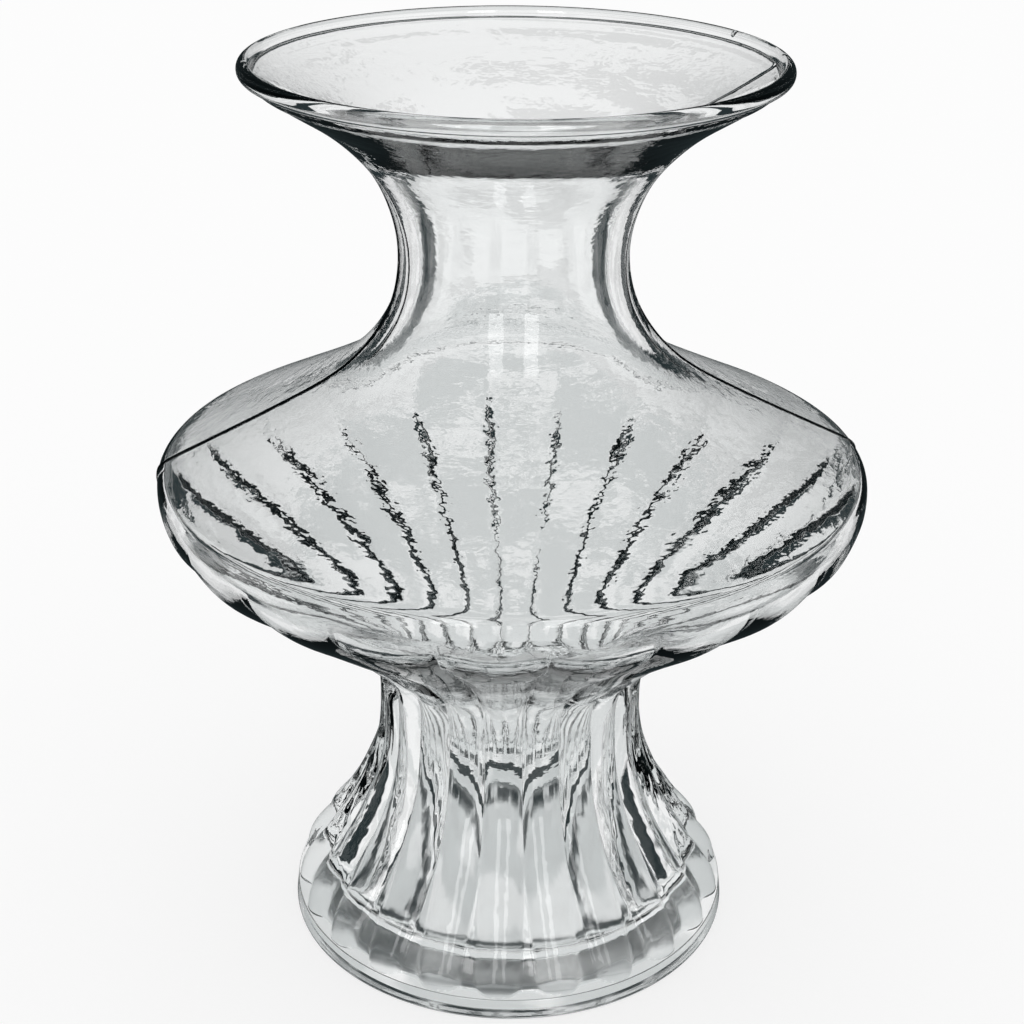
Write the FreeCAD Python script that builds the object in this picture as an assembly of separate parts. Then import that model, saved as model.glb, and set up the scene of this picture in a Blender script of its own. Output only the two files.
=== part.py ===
import FreeCAD, Part
import math
import os

# Footed glass vase: rolled lip, trumpet neck, sloping shoulder, ribbed bowl,
# fluted foot and a plain base plate. One hollow runs from the mouth to the foot.
# The axis is Z, the vase stands on Z = 0, and all lengths are in millimetres.

# Heights of the formed zones, from the table up
BASE_HEIGHT = 7.5        # plain plate under the foot
FOOT_HEIGHT = 76.5       # top of the plate to the narrowest place of the waist
BOWL_HEIGHT = 82.0       # waist to the widest place
SHOULDER_HEIGHT = 44.0   # widest place to the root of the neck
NECK_HEIGHT = 30.0       # root of the neck to its narrowest place
FLARE_HEIGHT = 55.5      # narrowest place of the neck to the lip
LIP_HEIGHT = 4.5         # rolled lip

# Outside radii, on the crests where the wall is fluted
BASE_RADIUS = 77.0
FLUTE_END_RADIUS = 75.6  # where the flutes stand on the plate
WAIST_RADIUS = 45.0
WIDEST_RADIUS = 115.2
NECK_ROOT_RADIUS = 46.6
NECK_RADIUS = 36.0
LIP_RADIUS = 83.2

# Wall thickness, square to the outside, on the crests
FOOT_WALL = 7.4
WAIST_WALL = 5.2
BOWL_WALL = 5.0
NECK_WALL = 3.8
FLARE_WALL = 2.9

# Flutes
FLUTE_COUNT = 22
FIRST_CREST_ANGLE = -92.6   # degrees from +X, so that a crest faces the front
FOOT_FLUTE_DEPTH = 3.8
WAIST_FLUTE_DEPTH = 1.5
BOWL_FLUTE_DEPTH = 3.0

# Base plate
BASE_DRAFT = 0.7          # how much narrower the plate is at its top
BASE_EDGE_ROUND = 1.2
RECESS_RADIUS = 58.0      # hollow under the plate, inside the standing ring
RECESS_DEPTH = 2.0
RECESS_ROUND = 1.0
FLOOR_CORNER_ROUND = 9.0  # inside, where the wall meets the floor

# Lip
LIP_STEP = 1.0            # how far the lip stands proud of the flare under it
LIP_BULGE = 0.6
LIP_TOP_WIDTH = 2.8
LIP_CROWN = 0.5

OVERRUN = 10.0            # how far the cavity and the slabs run past what they cut

# Where the zones part that lie between the levels above, as shares of a height
STEM_START_SHARE = 0.686  # of the foot's height: top of the foot's swell
STEM_END_SHARE = 0.165    # of the bowl's height: where the bowl starts to spread
BELLY_START_SHARE = 0.768 # of the bowl's height: where its flutes begin to die away
FLARE_START_SHARE = 0.240 # of the flare's height: where the neck starts to spread

BASE_TOP = BASE_HEIGHT
WAIST_LEVEL = BASE_TOP + FOOT_HEIGHT
WIDEST_LEVEL = WAIST_LEVEL + BOWL_HEIGHT
NECK_ROOT_LEVEL = WIDEST_LEVEL + SHOULDER_HEIGHT
NECK_LEVEL = NECK_ROOT_LEVEL + NECK_HEIGHT
LIP_LEVEL = NECK_LEVEL + FLARE_HEIGHT
TOP_LEVEL = LIP_LEVEL + LIP_HEIGHT
FLARE_RADIUS = LIP_RADIUS - LIP_BULGE - LIP_STEP
STEM_START_LEVEL = BASE_TOP + FOOT_HEIGHT * STEM_START_SHARE
STEM_END_LEVEL = WAIST_LEVEL + BOWL_HEIGHT * STEM_END_SHARE
BELLY_START_LEVEL = WAIST_LEVEL + BOWL_HEIGHT * BELLY_START_SHARE
FLARE_START_LEVEL = NECK_LEVEL + FLARE_HEIGHT * FLARE_START_SHARE

# Outline of each zone: share of its height, share of the way from its lower
# radius to its upper one, and share of the way from its lower flute depth to
# its upper one. The first point of a zone is the last one of the zone below.
FOOT_SHARES = [
    (0.000, 0.000, 0.00),
    (0.075, 0.045, 0.00),
    (0.216, 0.290, 0.00),
    (0.333, 0.480, 0.08),
    (0.450, 0.660, 0.25),
    (0.569, 0.800, 0.50),
    (0.686, 0.912, 0.80),
    (0.843, 0.985, 1.00),
    (1.000, 1.000, 1.00),
]
BOWL_SHARES = [
    (0.000, 0.000, 0.00),
    (0.085, 0.006, 0.00),
    (0.165, 0.037, 0.10),
    (0.263, 0.135, 0.45),
    (0.384, 0.285, 0.75),
    (0.520, 0.491, 0.95),
    (0.659, 0.712, 1.00),
    (0.768, 0.876, 0.80),
]
# Above this the bowl's flutes die away: share of the bowl's height, share of
# the way from the waist's radius to the widest one, share of the flute depth.
BOWL_HEAD_SHARES = [
    (0.860, 0.962, 0.20),
    (0.930, 0.993, 0.00),
    (1.000, 1.000, 0.00),
]
SHOULDER_SHARES = [
    (0.000, 0.000),
    (0.086, 0.013),
    (0.136, 0.052),
    (0.193, 0.122),
    (0.318, 0.287),
    (0.630, 0.684),
    (0.818, 0.880),
    (1.000, 1.000),
]
NECK_SHARES = [
    (0.000, 0.000),
    (0.200, 0.406),
    (0.487, 0.792),
    (0.733, 0.953),
    (1.000, 1.000),
]
FLARE_SHARES = [
    (0.000, 0.000),
    (0.126, 0.015),
    (0.240, 0.050),
    (0.432, 0.156),
    (0.595, 0.318),
    (0.753, 0.544),
    (0.881, 0.787),
    (1.000, 1.000),
]


def between(start, end, share):
    return start + (end - start) * share


def zone(shares, low_level, high_level, low_radius, high_radius, low_wall, high_wall):
    """Points of one zone as (radius, level, wall)."""
    points = []
    for row in shares:
        radius = between(low_radius, high_radius, row[1])
        level = between(low_level, high_level, row[0])
        wall = between(low_wall, high_wall, row[0])
        points.append((radius, level, wall))
    return points


FOOT = zone(FOOT_SHARES, BASE_TOP, WAIST_LEVEL, FLUTE_END_RADIUS, WAIST_RADIUS, FOOT_WALL, WAIST_WALL)
BOWL = zone(BOWL_SHARES + BOWL_HEAD_SHARES, WAIST_LEVEL, WIDEST_LEVEL,
            WAIST_RADIUS, WIDEST_RADIUS, WAIST_WALL, BOWL_WALL)
SHOULDER = zone(SHOULDER_SHARES, WIDEST_LEVEL, NECK_ROOT_LEVEL,
                WIDEST_RADIUS, NECK_ROOT_RADIUS, BOWL_WALL, NECK_WALL)
NECK = zone(NECK_SHARES, NECK_ROOT_LEVEL, NECK_LEVEL, NECK_ROOT_RADIUS, NECK_RADIUS, NECK_WALL, NECK_WALL)
FLARE = zone(FLARE_SHARES, NECK_LEVEL, LIP_LEVEL, NECK_RADIUS, FLARE_RADIUS, NECK_WALL, FLARE_WALL)
OUTLINE = FOOT + BOWL[1:] + SHOULDER[1:] + NECK[1:] + FLARE[1:]


def point(radius, level):
    """A point of the half section, in the XZ plane."""
    return FreeCAD.Vector(radius, 0, level)


def curve_through(points):
    curve = Part.BSplineCurve()
    curve.interpolate(points)
    return curve


def line(start, end):
    return Part.LineSegment(start, end).toShape()


def arc(start, middle, end):
    return Part.Arc(start, middle, end).toShape()


def turned(edges):
    """The solid that a closed half section sweeps about the Z axis."""
    face = Part.Face(Part.Wire(edges))
    full_turn = math.degrees(math.tau)
    return face.revolve(FreeCAD.Vector(0, 0, 0), FreeCAD.Vector(0, 0, 1), full_turn)


OUTSIDE = curve_through([point(radius, level) for radius, level, wall in OUTLINE])


def inside_points():
    """The outline moved inwards by the wall, square to the outside."""
    points = []
    for radius, level, wall in OUTLINE:
        here = point(radius, level)
        along = OUTSIDE.tangent(OUTSIDE.parameter(here))[0]
        points.append(point(radius - along.z * wall, level + along.x * wall))
    return [inner for inner in points if inner.z > BASE_TOP + FLOOR_CORNER_ROUND]


INSIDE = curve_through(inside_points())


def inside_radius(level):
    """The cavity's radius at one level, found by halving along its curve."""
    low = INSIDE.FirstParameter
    high = INSIDE.LastParameter
    while INSIDE.value(high).z - INSIDE.value(low).z > Part.Precision.confusion():
        middle = (low + high) / 2
        if INSIDE.value(middle).z < level:
            low = middle
        else:
            high = middle
    return INSIDE.value(low).x


def make_cavity():
    """The hollow of the vase as one solid, open past the lip."""
    bottom = INSIDE.value(INSIDE.FirstParameter)
    slope = INSIDE.tangent(INSIDE.FirstParameter)[0]
    foot_end = point(bottom.x - slope.x * (bottom.z - BASE_TOP) / slope.z, BASE_TOP)
    top = INSIDE.value(INSIDE.LastParameter)
    above = point(top.x, TOP_LEVEL + OVERRUN)
    edges = [
        line(point(0, BASE_TOP), foot_end),
        line(foot_end, bottom),
        INSIDE.toShape(),
        line(top, above),
        line(above, point(0, above.z)),
        line(point(0, above.z), point(0, BASE_TOP)),
    ]
    solid = turned(edges)
    corner = [edge for edge in solid.Edges if is_ring(edge, foot_end.x, BASE_TOP)]
    return solid.makeFillet(FLOOR_CORNER_ROUND, corner)


def is_ring(edge, radius, level):
    """Whether an edge is the circle of this radius at this level."""
    if not isinstance(edge.Curve, Part.Circle):
        return False
    near = Part.Precision.confusion()
    same_level = abs(edge.Curve.Center.z - level) < near
    return same_level and abs(edge.Curve.Radius - radius) < near


def flute_ring(radius, level, depth):
    """One level of the fluted wall: an arc over each crest, from valley to valley."""
    pitch = math.tau / FLUTE_COUNT
    start = math.radians(FIRST_CREST_ANGLE)
    valley = radius - depth
    edges = []
    for index in range(FLUTE_COUNT):
        crest_angle = start + pitch * index
        ends = []
        for angle in (crest_angle - pitch / 2, crest_angle + pitch / 2):
            ends.append(FreeCAD.Vector(valley * math.cos(angle), valley * math.sin(angle), level))
        crest = FreeCAD.Vector(radius * math.cos(crest_angle), radius * math.sin(crest_angle), level)
        edges.append(arc(ends[0], crest, ends[1]))
    return Part.Wire(edges)


def make_fluted_wall(cavity):
    """The wall from the plate to the widest place, through one ring at each point of its outline."""
    depths = [between(FOOT_FLUTE_DEPTH, WAIST_FLUTE_DEPTH, row[2]) for row in FOOT_SHARES]
    depths += [between(WAIST_FLUTE_DEPTH, BOWL_FLUTE_DEPTH, row[2]) for row in BOWL_SHARES[1:]]
    depths += [BOWL_FLUTE_DEPTH * row[2] for row in BOWL_HEAD_SHARES]
    rings = []
    for (radius, level, wall), depth in zip(FOOT + BOWL[1:], depths):
        rings.append(flute_ring(radius, level, depth))
    return Part.makeLoft(rings, True, False).cut(cavity)


def make_smooth_wall(cavity):
    """The wall from the widest place to the lip, a solid of revolution."""
    low_point = point(WIDEST_RADIUS, WIDEST_LEVEL)
    high_point = point(FLARE_RADIUS, LIP_LEVEL)
    edges = [
        OUTSIDE.toShape(OUTSIDE.parameter(low_point), OUTSIDE.parameter(high_point)),
        line(high_point, point(0, high_point.z)),
        line(point(0, high_point.z), point(0, low_point.z)),
        line(point(0, low_point.z), low_point),
    ]
    return turned(edges).cut(cavity)


def zone_of(wall, low_level, high_level):
    """The part of a wall between two levels."""
    slab = Part.makeCylinder(WIDEST_RADIUS + OVERRUN, high_level - low_level, point(0, low_level))
    return wall.common(slab)


def make_base_plate():
    """Plain plate that the flutes stand on, with a shallow hollow underneath."""
    plate = Part.makeCone(BASE_RADIUS, BASE_RADIUS - BASE_DRAFT, BASE_HEIGHT)
    rim = [edge for edge in plate.Edges if is_ring(edge, BASE_RADIUS, 0)]
    plate = plate.makeFillet(BASE_EDGE_ROUND, rim)
    plate = plate.cut(Part.makeCylinder(RECESS_RADIUS, RECESS_DEPTH))
    recess = [edge for edge in plate.Edges if is_ring(edge, RECESS_RADIUS, 0)]
    return plate.makeFillet(RECESS_ROUND, recess)


def make_lip_ring():
    """Rolled lip: bulged outside, crowned top and a face that runs on from the flare."""
    outer_low = point(LIP_RADIUS - LIP_BULGE, LIP_LEVEL)
    outer_high = point(LIP_RADIUS - LIP_BULGE, TOP_LEVEL - LIP_CROWN)
    outer_middle = point(LIP_RADIUS, (outer_low.z + outer_high.z) / 2)
    inner_high = point(outer_high.x - LIP_TOP_WIDTH, outer_high.z)
    crown = point((outer_high.x + inner_high.x) / 2, TOP_LEVEL)
    inner_low = point(inside_radius(LIP_LEVEL), LIP_LEVEL)
    edges = [
        arc(outer_low, outer_middle, outer_high),
        arc(outer_high, crown, inner_high),
        line(inner_high, inner_low),
        line(inner_low, outer_low),
    ]
    return turned(edges)


def main():
    os.makedirs("parts", exist_ok=True)
    cavity = make_cavity()
    fluted = make_fluted_wall(cavity)
    smooth = make_smooth_wall(cavity)
    pieces = {
        "base_plate": make_base_plate(),
        "fluted_foot": zone_of(fluted, BASE_TOP, STEM_START_LEVEL),
        "waist_stem": zone_of(fluted, STEM_START_LEVEL, STEM_END_LEVEL),
        "ribbed_bowl": zone_of(fluted, STEM_END_LEVEL, BELLY_START_LEVEL),
        "belly_band": zone_of(fluted, BELLY_START_LEVEL, WIDEST_LEVEL),
        "shoulder": zone_of(smooth, WIDEST_LEVEL, NECK_ROOT_LEVEL),
        "neck": zone_of(smooth, NECK_ROOT_LEVEL, FLARE_START_LEVEL),
        "flare": zone_of(smooth, FLARE_START_LEVEL, LIP_LEVEL),
        "lip_ring": make_lip_ring(),
    }
    for name, shape in pieces.items():
        solid = shape.Solids[0]
        box = solid.BoundBox
        print(name, "valid", shape.isValid(), "solids", len(shape.Solids),
              "volume %.0f mm3" % solid.Volume, "Z %.2f to %.2f" % (box.ZMin, box.ZMax))
        solid.exportStep("parts/%s.step" % name)


main()
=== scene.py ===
"""The looks of a footed glass vase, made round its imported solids.

One wall of glass is formed first: a turned half section, pressed into flutes by a node tree. Each piece is
then cut out of it where its solid begins and ends, so that neighbours share their edges and their shading.
"""

import math

import bpy
import numpy as np
from bpy.props import FloatProperty, IntProperty, PointerProperty, StringProperty
from mathutils import Euler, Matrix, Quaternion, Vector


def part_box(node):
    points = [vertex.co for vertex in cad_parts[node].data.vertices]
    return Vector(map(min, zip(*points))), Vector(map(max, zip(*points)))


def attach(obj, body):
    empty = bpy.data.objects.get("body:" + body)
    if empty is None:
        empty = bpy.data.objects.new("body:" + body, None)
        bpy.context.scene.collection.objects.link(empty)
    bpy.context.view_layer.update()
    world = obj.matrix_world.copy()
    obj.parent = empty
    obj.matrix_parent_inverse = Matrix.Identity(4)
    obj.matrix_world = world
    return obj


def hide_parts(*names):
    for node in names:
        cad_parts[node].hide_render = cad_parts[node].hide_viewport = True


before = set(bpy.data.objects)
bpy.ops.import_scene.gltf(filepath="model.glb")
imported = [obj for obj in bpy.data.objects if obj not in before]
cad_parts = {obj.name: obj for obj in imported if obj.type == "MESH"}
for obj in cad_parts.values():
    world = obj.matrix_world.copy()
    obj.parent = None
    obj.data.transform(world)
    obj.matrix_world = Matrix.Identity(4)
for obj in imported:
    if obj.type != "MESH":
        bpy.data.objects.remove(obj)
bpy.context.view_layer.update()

bl_info = {
    "name": "Footed glass vase",
    "version": (1, 0, 0),
    "blender": (4, 5, 0),
    "location": "3D View > Sidebar > Vase",
    "description": "Makes the glass of a footed vase round its packed solids",
    "category": "Object",
}

MM = 0.001
BODY = "root"
FLUTED_ZONES = ("fluted_foot", "waist_stem", "ribbed_bowl", "belly_band")
SMOOTH_ZONES = ("shoulder", "neck", "flare")
ZONES = FLUTED_ZONES + SMOOTH_ZONES
LEVELS = [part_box("base_plate")[1].z] + [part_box(zone)[1].z for zone in ZONES]
BASE_TOP, WIDEST_LEVEL, NECK_ROOT_LEVEL, LIP_LEVEL = LEVELS[0], LEVELS[4], LEVELS[5], LEVELS[7]
TOP_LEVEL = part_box("lip_ring")[1].z
BASE_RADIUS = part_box("base_plate")[1].x
WIDEST_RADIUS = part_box("shoulder")[1].x
LIP_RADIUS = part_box("lip_ring")[1].x

# Outline of each stretch of the wall: share of its height, share of the way from its lower radius to its
# upper one, and share of the way from its lower flute depth to its upper one or, where it is smooth, from one
# wall to the next.
FOOT_SHARES = (
    (0, 0, 0),
    (0.075, 0.045, 0.00),
    (0.216, 0.290, 0.00),
    (0.333, 0.480, 0.08),
    (0.450, 0.660, 0.25),
    (0.569, 0.800, 0.50),
    (0.686, 0.912, 0.80),
    (0.843, 0.985, 1.00),
    (1, 1, 1),
)
BOWL_SHARES = (
    (0, 0, 0),
    (0.085, 0.006, 0.00),
    (0.165, 0.037, 0.10),
    (0.263, 0.135, 0.45),
    (0.384, 0.285, 0.75),
    (0.520, 0.491, 0.95),
    (0.659, 0.712, 1.00),
    (0.768, 0.876, 0.95),
)
BOWL_HEAD_SHARES = (
    (0.860, 0.962, 0.50),
    (0.930, 0.993, 0.06),
    (1.000, 1.000, 0.00),
)
SHOULDER_SHARES = (
    (0, 0, 0),
    (0.086, 0.013, 0.05),
    (0.136, 0.052, 0.10),
    (0.193, 0.122, 0.15),
    (0.318, 0.287, 0.30),
    (0.630, 0.684, 0.60),
    (0.818, 0.880, 0.80),
    (1, 1, 1),
)
NECK_SHARES = (
    (0, 0, 0),
    (0.200, 0.406, 0.20),
    (0.487, 0.792, 0.50),
    (0.733, 0.953, 0.75),
    (1, 1, 1),
)
FLARE_SHARES = (
    (0, 0, 0),
    (0.126, 0.015, 0.25),
    (0.240, 0.050, 0.50),
    (0.432, 0.156, 0.90),
    (0.595, 0.318, 1.00),
    (0.753, 0.544, 0.60),
    (0.881, 0.787, 0.90),
    (1, 1, 1),
)
# The rolled lip from the flare's outside over the top to its inside, in millimetres: outwards from the
# flare's outer edge, and up from its top.
LIP_ROLL = (
    (0.00, 0.00),
    (0.55, 0.12),
    (1.15, 0.62),
    (1.55, 1.45),
    (1.60, 2.40),
    (1.30, 3.35),
    (0.60, 4.10),
    (-0.45, 4.50),
    (-1.55, 4.30),
    (-2.45, 3.55),
    (-2.85, 2.55),
    (-2.80, 1.70),
)
LIP_STEP = 0.45 * MM

# Rows on the ledge, as shares of the way in from the plate's top edge to the flutes' ends
LEDGE_SHARES = (0.25, 0.5, 0.75, 0.9, 0.97)
# Columns in half a flute, from its crest, 0, to its valley, 1, and beside a seam, in degrees
FLUTE_PLACES = (0, 0.14, 0.28, 0.42, 0.55, 0.67, 0.77, 0.85, 0.91, 0.945, 0.97, 0.987)
SEAM_PLACES = (0, 0.15, 0.3, 0.5, 0.75, 1.05, 1.4, 1.9)
LEAST_GAP = 0.05
# Rows across the floor inside, in its corner, across the hollow under the plate and on the standing ring
FLOOR_ROWS, CORNER_ROWS, RECESS_ROWS, RING_ROWS = 22, 14, 14, 8
# Points of the plate's small arcs and of its lower edge
SMALL_ARC, EDGE_ARC = 6, 8

# The power of a lobe's curve at the plate and from the waist up, the share of the foot's height at which the
# lobes are as wide as the flutes, how softly they end, and their width and start on the inside
FOOT_LOBE_POWER, ROUND_LOBE_POWER = 2.6, 2.0
FULL_LOBE_SHARE = 0.45
LOBE_EDGE = 0.12
INNER_LOBE = 0.88
INNER_RIB_START = 22 * MM
# The groove: the flute depth from which it is full, its share on the foot, and its patches, with the noise
# limits and the shares of the depth that they give
FULL_GROOVE_DEPTH = 1.2 * MM
FAINT_GROOVE = 0.35
GROOVE_SEED = 5.0
GROOVE_PATCHES = 26.0
GROOVE_UNEVEN = (0.35, 0.6, 0.3, 1.1)

# Levels between which something on the wall starts or ends: none at the first, all at the second
FAINT_GROOVE_START = (35 * MM, 75 * MM)
GROOVE_START = (80 * MM, 100 * MM)
GROOVE_END = (150 * MM, 143 * MM)
SEAM_START = (WIDEST_LEVEL - 6 * MM, WIDEST_LEVEL)
WAVE_START = (20 * MM, 40 * MM)
WAVE_END = (TOP_LEVEL, TOP_LEVEL - 8 * MM)
DRAWN_START = (0, 20 * MM)
DRAWN_END = (90 * MM, 75 * MM)
# The chill is weaker on the front, by this share, up to where it ends
CALM_END = (185 * MM, 166 * MM)
FRONT_TO_BACK = (-30 * MM, 30 * MM)
FRONT_CALM = 0.75

# How strongly the mould's chill ripples show: level in millimetres, share of the strongest.
RIPPLE_SHARES = (
    (30, 0.0), (70, 0.2), (90, 0.5), (105, 0.4), (120, 0.6), (145, 0.8), (155, 0.4), (175, 0.4),
    (195, 0.5), (208, 0.3), (225, 0.1), (250, 0.15), (268, 0.4), (288, 0.7), (295, 0.2), (296, 0.0))
RIPPLE_HEIGHT = 0.34 * MM
DRAWN_SHARE = 0.6

# Blisters on the lip: turn from +X in degrees, then distance from the axis, level and radius in millimetres.
BLISTERS = ((30.2, 80.6, 298.9, 1.1), (19.5, 82.0, 298.6, 0.7))
BLISTER_RINGS, BLISTER_SIDES = 10, 20

# Soda-lime glass, and the underside's stipple, worn ring and patches, with how frosted they are
GLASS_IOR = 1.52
STIPPLE_SPACING, STIPPLE_HEIGHT = 1.2 * MM, 0.1 * MM
WORN_RING_START = (56 * MM, 59 * MM)
WEAR_PATCH = 16 * MM
WEAR_EDGE = (0.42, 0.55)
HOLLOW_FROST = (0.12, 0.5)
RING_FROST = 0.85

# The table that the glass shows: its oval's centre and half axes, and where the oval and the disc round the
# axis end
TABLE_CENTRE, TABLE_WIDTH, TABLE_LENGTH = 270 * MM, 120 * MM, 350 * MM
TABLE_EDGE = (1.04, 0.98)
DISC_EDGE = (210 * MM, 190 * MM)
# Distances from the axis at which the painted shade round the plate and the painted shade under it start and
# end
OUTER_SHADE = ((80 * MM, 84 * MM), (102 * MM, 94 * MM))
INNER_SHADE = ((45 * MM, 48 * MM), (60 * MM, 56 * MM))
# The table's clouds and the painted shade's patches, with their noise limits
TABLE_CLOUD, SHADE_PATCH = 60 * MM, 14 * MM
CLOUD_EDGE, PATCH_EDGE = (0.52, 0.56), (0.40, 0.50)
# Share of the floor that glows by itself for the camera
FLOOR_GLOW = 0.75

# The studio that the glass shows, in degrees: elevations between which its parts start or end
STUDIO_LEVELS = {
    "sheet foot": (-50, -44), "sheet head": (5, 1), "ceiling": (20, 40), "sill": (-4, -1),
    "window head": (48, 44)}
# Half the turn from one sheet or pane to the next, the first pane's turn, and the turns within them at which
# a gap between sheets, a pane and the windows start
SHEET_TURN, PANE_TURN, FIRST_PANE = 22.5, 20, 100
STUDIO_TURNS = {"gap": (14.5, 16), "pane": (9, 10.5), "window side": (156, 157)}
# How much brighter than white a window is, and the soft shades on the sheets
WINDOW_LIGHT = 2.5
SHEET_SHADES = 9.0
SHEET_SHADE_EDGE = (0.46, 0.50)
WHITE = (1, 1, 1, 1)

# The camera at the photo's angle, with its tilt in degrees and its small roll in radians
SENSOR_WIDTH, LENS = 36, 65.89
CAMERA_PLACE = (0, -0.5643, 0.4154)
CAMERA_TILT, CAMERA_ROLL = 64.736, 0.0092
FLOOR_RADIUS, FLOOR_SIDES, FLOOR_GAP = 12, 96, 0.1 * MM

# What the node tree takes as its inputs, and what every row of the wall carries into it
FLUTE_SIZES = (
    "Pitch", "Groove depth", "Groove width", "Seam height", "Seam width", "Seam turn", "Wave height",
    "Wave length", "Seed")
ROW_VALUES = ("flute", "depth", "lobe", "power", "seam", "groove", "outside", "loose")
GLASS_COAT, JOINT_COAT, UNDERSIDE_COAT = range(3)
MATH, VECTOR_MATH = "ShaderNodeMath", "ShaderNodeVectorMath"
MAP_RANGE, NOISE = "ShaderNodeMapRange", "ShaderNodeTexNoise"
MIX, MIX_SHADER = "ShaderNodeMix", "ShaderNodeMixShader"


def length(name, description, default):
    """A size that a user may change, with its default in millimetres."""
    return FloatProperty(name=name, description=description, default=default * MM, unit="LENGTH")


class VaseSizes(bpy.types.PropertyGroup):
    """Sizes of the glass that its solids don't give."""

    flute_count: IntProperty(
        name="Flutes", description="Flutes round the foot and ribs round the bowl", default=22)
    first_crest: FloatProperty(
        name="First crest", description="Turn from +X to a crest", default=math.radians(-92.6),
        subtype="ANGLE")
    foot_depth: length("Foot flute depth", "Crest to valley at the plate", 3.8)
    waist_depth: length("Waist flute depth", "Crest to valley at the waist", 1.5)
    bowl_depth: length("Rib depth", "Crest to valley under the bowl", 3.0)
    foot_lobe: FloatProperty(
        name="Foot lobe", description="Share of a flute that its lobe takes at the plate", default=0.68)
    flute_end_radius: length("Flute end", "Radius of the crests on the plate", 75.6)
    waist_level: length("Waist level", "Height of the waist", 84)
    waist_radius: length("Waist", "Radius on the crests", 45)
    neck_root_radius: length("Neck root", "Radius at the root of the neck", 46.6)
    neck_level: length("Neck level", "Height of the neck's narrowest place", 240)
    neck_radius: length("Neck", "Narrowest radius", 36)
    flare_radius: FloatProperty(
        name="Flare", description="Outer radius under the lip", default=LIP_RADIUS - 1.6 * MM, unit="LENGTH")
    foot_wall: length("Foot wall", "Thickness on a crest", 7.4)
    waist_wall: length("Waist wall", "Thickness on a crest", 5.2)
    bowl_wall: length("Bowl wall", "Thickness on a crest", 3.6)
    neck_wall: length("Neck wall", "Thickness in the neck", 6.5)
    flare_wall: length("Flare wall", "Thickness in the flare", 7.0)
    lip_wall: length("Lip wall", "Thickness under the lip", 2.3)
    floor_round: length("Floor corner", "Radius where the wall meets the floor", 9)
    base_draft: length("Plate draft", "How much narrower the plate is at its top", 0.7)
    edge_round: length("Edge round", "Radius of the plate's edges", 1.2)
    recess_radius: length("Recess", "Radius of the hollow under the plate", 58)
    recess_depth: length("Recess depth", "Depth of the hollow under the plate", 2)
    clear_edge: length("Clear edge", "How far in from the plate's edge the underside stays clear", 6)
    outside_step: length("Outside step", "Spacing of rows on the outside", 1.0)
    inside_step: length("Inside step", "Spacing of rows on the inside", 1.8)
    groove_depth: length("Groove depth", "Sharp groove along each valley", 1.4)
    groove_width: length("Groove width", "Half width of that groove", 1.5)
    follow: FloatProperty(
        name="Inside ribs", description="Share of a rib that the inside of the bowl follows", default=0.8)
    collar_level: length("Collar level", "Height of the step under the lip", 292.3)
    collar_height: length("Collar height", "How far that step stands out", 0.55)
    collar_width: length("Collar width", "Half width of that step", 1.3)
    seam_turn: FloatProperty(
        name="Seam", description="Turn from +X to the mould's parting plane", default=math.radians(6),
        subtype="ANGLE")
    seam_height: length("Seam height", "How far the mould seams stand out", 0.5)
    seam_width: length("Seam width", "Half width of a mould seam", 0.8)
    wave_height: length("Waves", "Unevenness of the blown wall", 0.12)
    wave_length: length("Wave length", "Spacing of that unevenness", 28)
    seed: IntProperty(name="Seed", description="Seed of all that is uneven", default=7)


class VaseColours(bpy.types.PropertyGroup):
    """Colours as sRGB hex values."""

    glass: StringProperty(
        name="Glass", description="What one wall of the glass lets through", default="#F9FAFA")
    underside: StringProperty(name="Underside", description="Stippled underside", default="#F8FAFA")
    floor: StringProperty(name="Floor", description="Pale floor", default="#F4F4F4")
    sheet: StringProperty(name="Sheet", description="White sheets round the vase", default="#FFFFFF")
    sheet_shade: StringProperty(name="Sheet shade", description="Soft shades on them", default="#EDEDED")
    table: StringProperty(name="Table", description="Pale table under the vase", default="#E4E6E6")
    # The room's colour is also the painted shade on the floor round and under the plate, as the glass shows
    # it.
    room: StringProperty(name="Room", description="Dark room round the sheets", default="#2A3335")
    ceiling: StringProperty(name="Ceiling", description="Ceiling of the room", default="#2E3739")


def linear(code):
    """A linear colour from an sRGB hex value."""
    parts = [int(code[place:place + 2], 16) / 255 for place in (1, 3, 5)]
    return tuple(p / 12.92 if p <= 0.04045 else ((p + 0.055) / 1.055) ** 2.4 for p in parts) + (1.0,)


def add_node(tree, kind, inputs=(), **settings):
    """Adds a node with its settings, and sets or links its inputs, given in order or by name or place.

    A node that is given for an input stands for its first output.
    """
    node = tree.nodes.new(kind)
    for name, value in settings.items():
        setattr(node, name, value)
    for key, value in (inputs if isinstance(inputs, dict) else dict(enumerate(inputs))).items():
        value = value.outputs[0] if isinstance(value, bpy.types.Node) else value
        if isinstance(value, bpy.types.NodeSocket):
            tree.links.new(value, node.inputs[key])
        else:
            node.inputs[key].default_value = value
    return node


def between(start, end, share):
    return start + (end - start) * share


def ramp(value, start, end):
    """How far a value has come from start to end, from 0 to 1. The end may be the lower one."""
    return np.clip((value - start) / (end - start), 0.0, 1.0)


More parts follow.
